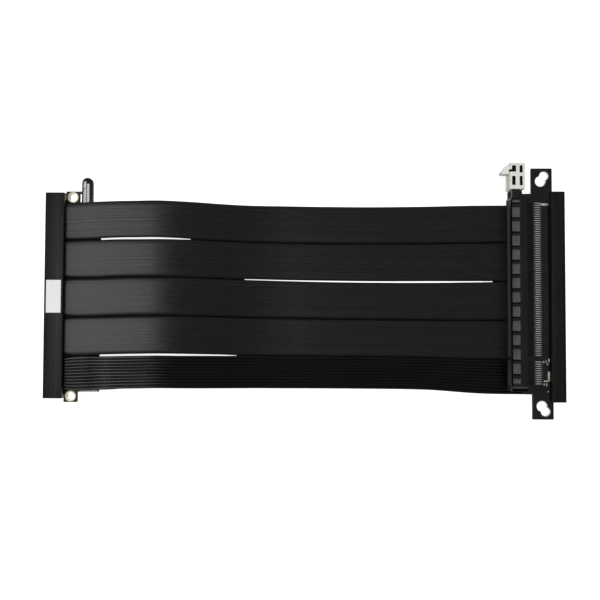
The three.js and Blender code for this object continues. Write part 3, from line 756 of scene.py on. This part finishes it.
# CAD pieces that keep their shape and get a finish
for name, material in (
    ("plug_contacts_top_short", GOLD), ("plug_contacts_top_long", GOLD),
    ("plug_contacts_bottom_short", GOLD), ("plug_contacts_bottom_long", GOLD),
    ("plug_ring_upper", RING_REFLECTION), ("plug_ring_lower", RING_REFLECTION), ("blank_label", PAPER),
    ("slot_contacts_upper", TINNED), ("slot_contacts_lower", TINNED),
    ("plug_strain_bar", INNER), ("slot_strain_bar", INNER),
):
    nodes[name].data.materials.clear()
    nodes[name].data.materials.append(material)
for end in ("plug", "slot"):
    for i in range(1, 6):
        piece = nodes[f"{end}_wire_ends_{i}"]
        piece.data.materials.clear()
        piece.data.materials.append(COPPER)

# Slot end: solder, tracks, plated holes, print

BOARD_TOP = 6.3
BOARD_LOW = 4.7
ROW = 83.0
SHORT_COUNT = 11
LONG_COUNT = 71
SHORT = [-ROW / 2 + i for i in range(SHORT_COUNT)]
LONG = [ROW / 2 - i for i in range(LONG_COUNT)]
PLACES = sorted(SLOT_Y + y for y in SHORT + LONG)
FOOT_END = HOUSING_X + 14.6


def mound(verts, faces, x0, x1, y, half, base, rise, way):
    """A small hump of solder over a foot, flush with the board round its rim."""
    nx, ny = 7, 4
    first = len(verts)
    for i in range(nx + 1):
        for j in range(ny + 1):
            u, v = i / nx, j / ny
            height = (math.sin(math.pi * u) ** 0.35) * (math.sin(math.pi * v) ** 0.6)
            verts.append((x0 + (x1 - x0) * u, y - half + 2 * half * v, base + way * rise * height))
    for i in range(nx):
        for j in range(ny):
            a = first + i * (ny + 1) + j
            quad = (a, a + ny + 1, a + ny + 2, a + 1)
            faces.append(quad if way > 0 else quad[::-1])


def solder_row(name, side):
    """Solder over each foot of one row of contacts."""
    verts, faces = [], []
    base = BOARD_TOP + 0.004 if side > 0 else BOARD_LOW - 0.004
    for k, y in enumerate(PLACES):
        wobble = 0.06 * math.sin(k * 2.3)
        mound(verts, faces, FOOT_END - 3.2 + wobble, FOOT_END + 0.12, y, 0.27, base, 0.3, side)
    piece = new_object(name, verts, faces, smooth=True)
    return finish_piece(piece, SOLDER)


solder_row("slot_solder_upper", 1)
solder_row("slot_solder_lower", -1)


def tracks(name, side):
    """Thin tracks under the mask, from each pad to the cover."""
    verts, faces = [], []
    z = BOARD_TOP + 0.003 if side > 0 else BOARD_LOW - 0.003
    top = z + 0.02 * side
    for k, y in enumerate(PLACES):
        x0, x1 = FOOT_END + 0.2, FOOT_END + 1.5 + 0.5 * ((k * 7) % 5) / 5
        a = len(verts)
        for x, h in ((x0, 0.16), (x1, 0.1)):
            verts.extend([(x, y - h, z), (x, y - h * 0.6, top), (x, y + h * 0.6, top), (x, y + h, z)])
        quads = [(a + j, a + 4 + j, a + 5 + j, a + 1 + j) for j in range(3)]
        faces.extend(quads if side > 0 else [q[::-1] for q in quads])
    piece = new_object(name, verts, faces)
    return finish_piece(piece, HOUSING)


tracks("slot_tracks_upper", 1)
tracks("slot_tracks_lower", -1)


def two_circle_outline(c1, r1, c2, r2):
    """The outline of two overlapping circles, as points seen from the middle between them."""
    count = 64
    middle = (Vector(c1) + Vector(c2)) / 2
    points = []
    for k in range(count):
        a = 2 * math.pi * k / count
        d = Vector((math.cos(a), math.sin(a)))
        best = 0.0
        for centre, radius in ((Vector(c1), r1), (Vector(c2), r2)):
            f = middle - centre
            b = f.dot(d)
            disc = b * b - (f.dot(f) - radius * radius)
            if disc > 0:
                best = max(best, -b + math.sqrt(disc))
        points.append(middle + d * best)
    return points


def hole_lining(name, inner, outer):
    """Plated wall of a double hole, with a thin rim on both faces."""
    outline = two_circle_outline(inner[0], inner[1], outer[0], outer[1])
    centre = sum(outline, Vector((0, 0))) / len(outline)
    profile = ((0.32, BOARD_TOP + 0.012), (0.0, BOARD_TOP + 0.03), (-0.05, BOARD_TOP - 0.03),
               (-0.05, BOARD_LOW + 0.03), (0.0, BOARD_LOW - 0.03), (0.32, BOARD_LOW - 0.012))
    verts, faces = [], []
    for offset, z in profile:
        for p in outline:
            out = (p - centre).normalized()
            q = p + out * offset
            verts.append((q.x, q.y, z))
    n = len(outline)
    for row in range(len(profile) - 1):
        for k in range(n):
            a, b = row * n + k, row * n + (k + 1) % n
            faces.append((a, b, b + n, a + n))
    piece = new_object(name, verts, faces, smooth=True)
    return finish_piece(piece, WALL)


TAB_RIGHT = SLOT_FACE + 1.2
TAB_REACH = 57.75
for name, way in (("slot_hole_lining_upper", 1), ("slot_hole_lining_lower", -1)):
    hole_lining(name, ((TAB_RIGHT - 5.4, SLOT_Y + way * (TAB_REACH - 6.05)), 2.4),
                ((TAB_RIGHT - 3.8, SLOT_Y + way * (TAB_REACH - 3.6)), 2.1))


def flat_marks(name, marks, z, material, thickness=0.02):
    """Printed bars and pads, and lines of painted shadow and painted highlight: (x0, x1, y0, y1), with
    softened corners.
    """
    verts, faces = [], []
    for x0, x1, y0, y1 in marks:
        r = min(x1 - x0, y1 - y0) * 0.3
        ring = []
        corners = ((x1 - r, y1 - r, 0), (x0 + r, y1 - r, 90),
                   (x0 + r, y0 + r, 180), (x1 - r, y0 + r, 270))
        for cx, cy, start in corners:
            for k in range(4):
                a = math.radians(start + 30 * k)
                ring.append((cx + r * math.cos(a), cy + r * math.sin(a)))
        a = len(verts)
        n = len(ring)
        verts.extend((x, y, z) for x, y in ring)
        verts.extend((x, y, z + thickness) for x, y in ring)
        faces.append(tuple(a + n + j for j in range(n)))
        faces.extend((a + j, a + (j + 1) % n, a + n + (j + 1) % n, a + n + j) for j in range(n))
    return finish_piece(new_object(name, verts, faces), material)


def painted_line(name, marks, z, material=SHADOW):
    """Flat lines where two surfaces meet: painted shadow, unless another material is given."""
    return flat_marks(name, marks, z, material, 0.01)


def lens_pad(name, x0, x1, y, half, base, rise):
    """A long drop of solder, pointed at both ends."""
    verts, faces = [], []
    nx, ny = 14, 6
    for i in range(nx + 1):
        w = max(math.sin(math.pi * i / nx), 0.0) ** 0.7
        for j in range(ny + 1):
            v = 2 * j / ny - 1
            verts.append((x0 + (x1 - x0) * i / nx, y + half * w * v, base + rise * w * (1 - v * v)))
    for i in range(nx):
        for j in range(ny):
            a = i * (ny + 1) + j
            faces.append((a, a + ny + 1, a + ny + 2, a + 1))
    return finish_piece(new_object(name, verts, faces, smooth=True), SOLDER)


lens_pad("slot_solder_drop", 107.9, 112.4, 39.95, 0.62, BOARD_TOP + 0.004, 0.35)

# Print on the slot board: plain bars and pads beside the ends of the contact row
flat_marks("slot_board_print", [
    (109.0, 109.8, -32.9, -32.1), (110.4, 110.8, -33.0, -31.7), (110.8, 111.5, -33.9, -33.1),
    (111.6, 112.1, -32.6, -30.9), (111.3, 111.7, -41.4, -37.0), (111.7, 112.2, -41.4, -36.8),
    (109.4, 111.3, -41.5, -41.0), (109.3, 109.9, -43.2, -42.3), (110.6, 111.0, -43.6, -42.2),
    (111.1, 111.7, -46.3, -45.7),
], BOARD_TOP + 0.004, SILK)

# Painted shadow lines where surfaces meet, and a painted highlight on the lower edge of the housing
HOUSING_TOP = SLOT_Z + HOUSING_HALF
ON_HOUSING = HOUSING_TOP + 0.002
ON_BOARD = BOARD_TOP + 0.004
MOUTH_LOW = -43.4
MOUTH_HIGH = 41.6
# Painted shadow at the lower end of each recessed panel
FIRST_PANEL_END_SHADOW = 40.1
PANEL_END_SHADOWS = [FIRST_PANEL_END_SHADOW] + [PANEL_LOW - PANEL_PITCH * i for i in range(PANEL_COUNT)]
painted_line("housing_front_edge_shadow", [(93.98, 94.5, MOUTH_LOW, MOUTH_HIGH)], ON_HOUSING)
painted_line("panel_end_shadows", [(94.3, 98.1, y - 0.3, y + 0.27) for y in PANEL_END_SHADOWS], ON_HOUSING)
FRONT_X = 93.985
front = new_object("housing_front_shadow", [(FRONT_X, MOUTH_LOW, 8.25), (FRONT_X, MOUTH_HIGH, 8.25),
                                            (FRONT_X, MOUTH_HIGH, 9.2), (FRONT_X, MOUTH_LOW, 9.2)],
                   [(0, 3, 2, 1)])
finish_piece(front, SHADOW)
painted_line("housing_end_highlight", [(94.6, 101.1, -44.2, -43.75)], ON_HOUSING, EDGE_HIGHLIGHT)
painted_line("housing_end_shadow", [(94.3, 101.2, -45.5, -44.45)], ON_HOUSING)
painted_line("post_shadow", [(94.4, 98.1, 41.75, 42.2)], ON_HOUSING)
painted_line("board_shadow", [(99.9, 101.6, 41.85, 42.4), (101.9, 103.3, 41.85, 42.4),
                           (103.5, 104.4, 41.85, 42.3)], ON_BOARD)
painted_line("slot_cover_shadow", [(111.95, 112.6, -37.5, 38.9), (112.1, 112.6, -50.0, -41.5)], ON_BOARD)

# Latch: ridges on its thumb tail

TAIL_TOP = SLOT_Z + 2.5
TAIL_LOW = SLOT_Z - 2.5


def thumb_ridges():
    """Rounded ribs across the sloping outer face of the thumb tail."""
    a = Vector((LATCH_X - 0.4, LATCH_TOP - 0.3))
    b = Vector((LATCH_X - 3.8, LATCH_TOP - 4.4))
    along = b - a
    out = Vector((-along.y, along.x)).normalized()
    if out.x > 0:
        out = -out
    verts, faces = [], []
    count, radius = 5, 0.2
    for k in range(count):
        c = a + along * ((k + 0.7) / (count + 0.4))
        first = len(verts)
        steps = 6
        tangent = along.normalized()
        for z, shrink in ((TAIL_LOW + 0.15, 0.35), (TAIL_LOW + 0.35, 1.0),
                          (TAIL_TOP - 0.35, 1.0), (TAIL_TOP - 0.15, 0.35)):
            for j in range(steps + 1):
                w = math.pi * j / steps
                r = radius * shrink
                p = c + tangent * (r * math.cos(w)) + out * (r * math.sin(w) - 0.02)
                verts.append((p.x, p.y, z))
        for row in range(3):
            for j in range(steps):
                q = first + row * (steps + 1) + j
                faces.append((q, q + 1, q + steps + 2, q + steps + 1))
    ridges = new_object("latch_thumb_ridges", verts, faces, smooth=True)
    face_outwards(ridges)
    return finish_piece(ridges, LATCH, "latch")


thumb_ridges()

# Plug end: print on the prong, plated margin of the tongue

PLUG_TOP = 4.3
PLUG_BOARD_DEPTH = 5.45
PRONG_GAP = 1.1
PRONG_LEFT = PLUG_FACE + PLUG_BOARD_DEPTH + PRONG_GAP
flat_marks("prong_print", [
    (PRONG_LEFT + 0.75, PRONG_LEFT + 2.0, 39.6, 50.4),
    (PRONG_LEFT + 2.3, PRONG_LEFT + 3.4, 39.6, 49.4),
], PLUG_TOP + 0.004, WORN_PRINT)
DOT_PITCH = 0.9
DOTS = [(PRONG_LEFT + 2.02, PRONG_LEFT + 2.28, 39.8 + DOT_PITCH * i, 40.3 + DOT_PITCH * i) for i in range(12)]
flat_marks("prong_dots", DOTS + [(PRONG_LEFT + 0.3, PRONG_LEFT + 3.6, 51.05, 51.2)],
           PLUG_TOP + 0.03, INNER)


def ring_border(name, x, y, inner, outer, z):
    """Thin dark rim of the mask round a plated ring."""
    verts, faces = [], []
    n = 48
    for radius in (inner, outer):
        for k in range(n):
            a = 2 * math.pi * k / n
            verts.append((x + radius * math.cos(a), y + radius * math.sin(a), z))
    for k in range(n):
        b = (k + 1) % n
        faces.append((k, n + k, n + b, b))
    return finish_piece(new_object(name, verts, faces), RING_BORDER)


RING_X = PLUG_FACE + 2.5
BORDER_INNER = 2.46
BORDER_OUTER = 2.75
for name, y in (("plug_ring_border_upper", 42.9), ("plug_ring_border_lower", -48.9)):
    ring_border(name, RING_X, y, BORDER_INNER, BORDER_OUTER, PLUG_TOP + 0.02)
flat_marks("tongue_margin", [(-103.4, -95.2, -46.9, -46.25)], PLUG_TOP + 0.004, SILK)

# Stage: pale floor, soft light

FLOOR_HALF = 4.0
FLOOR_Z = -0.0002
FLOOR_GREY = 0.62
FLOOR_GLOW = 0.86


def floor_paper():
    """White ground: plain diffuse, with a glow for camera, glossy and transmission rays alone."""
    material = bpy.data.materials.new("floor_paper")
    material.use_nodes = True
    tree = material.node_tree
    tree.nodes.clear()
    output = tree.nodes.new("ShaderNodeOutputMaterial")
    diffuse = tree.nodes.new("ShaderNodeBsdfDiffuse")
    diffuse.inputs["Color"].default_value = (FLOOR_GREY, FLOOR_GREY, FLOOR_GREY, 1.0)
    glow = tree.nodes.new("ShaderNodeEmission")
    total = tree.nodes.new("ShaderNodeAddShader")
    rays = tree.nodes.new("ShaderNodeLightPath")
    seen = rays.outputs["Is Camera Ray"]
    for kind in ("Is Glossy Ray", "Is Transmission Ray"):
        either = tree.nodes.new("ShaderNodeMath")
        either.operation = "MAXIMUM"
        tree.links.new(seen, either.inputs[0])
        tree.links.new(rays.outputs[kind], either.inputs[1])
        seen = either.outputs[0]
    strength = tree.nodes.new("ShaderNodeMath")
    strength.operation = "MULTIPLY"
    strength.inputs[1].default_value = FLOOR_GLOW
    tree.links.new(seen, strength.inputs[0])
    tree.links.new(strength.outputs[0], glow.inputs["Strength"])
    tree.links.new(diffuse.outputs[0], total.inputs[0])
    tree.links.new(glow.outputs[0], total.inputs[1])
    tree.links.new(total.outputs[0], output.inputs["Surface"])
    return material


floor_mesh = bpy.data.meshes.new("floor")
CORNERS = ((-1, -1), (1, -1), (1, 1), (-1, 1))
floor_mesh.from_pydata([(x * FLOOR_HALF, y * FLOOR_HALF, FLOOR_Z) for x, y in CORNERS], [], [(0, 1, 2, 3)])
floor = bpy.data.objects.new("floor", floor_mesh)
bpy.context.scene.collection.objects.link(floor)
floor.data.materials.append(floor_paper())

WORLD_LIGHT = 0.11
world = bpy.data.worlds.new("studio")
bpy.context.scene.world = world
world.use_nodes = True
world.node_tree.nodes["Background"].inputs["Color"].default_value = (1.0, 1.0, 1.0, 1.0)
world.node_tree.nodes["Background"].inputs["Strength"].default_value = WORLD_LIGHT


AIM = Vector((0.0, 0.0, 0.0))


def lamp(name, at, size, size_y, watts, glossy=True):
    """A soft rectangular light aimed at the middle of the object."""
    data = bpy.data.lights.new(name, "AREA")
    data.shape = "RECTANGLE"
    data.size = size
    data.size_y = size_y
    data.energy = watts
    obj = bpy.data.objects.new(name, data)
    obj.location = at
    obj.rotation_euler = (AIM - Vector(at)).to_track_quat("-Z", "Y").to_euler()
    obj.visible_glossy = glossy
    bpy.context.scene.collection.objects.link(obj)


lamp("key_left", (-0.79, 0.0, 0.72), 0.68, 1.5, 6.0)
lamp("fill_top", (0.25, 0.3, 1.3), 1.2, 1.2, 12.5, glossy=False)

bpy.context.scene.view_settings.view_transform = "Standard"

bpy.context.view_layer.update()
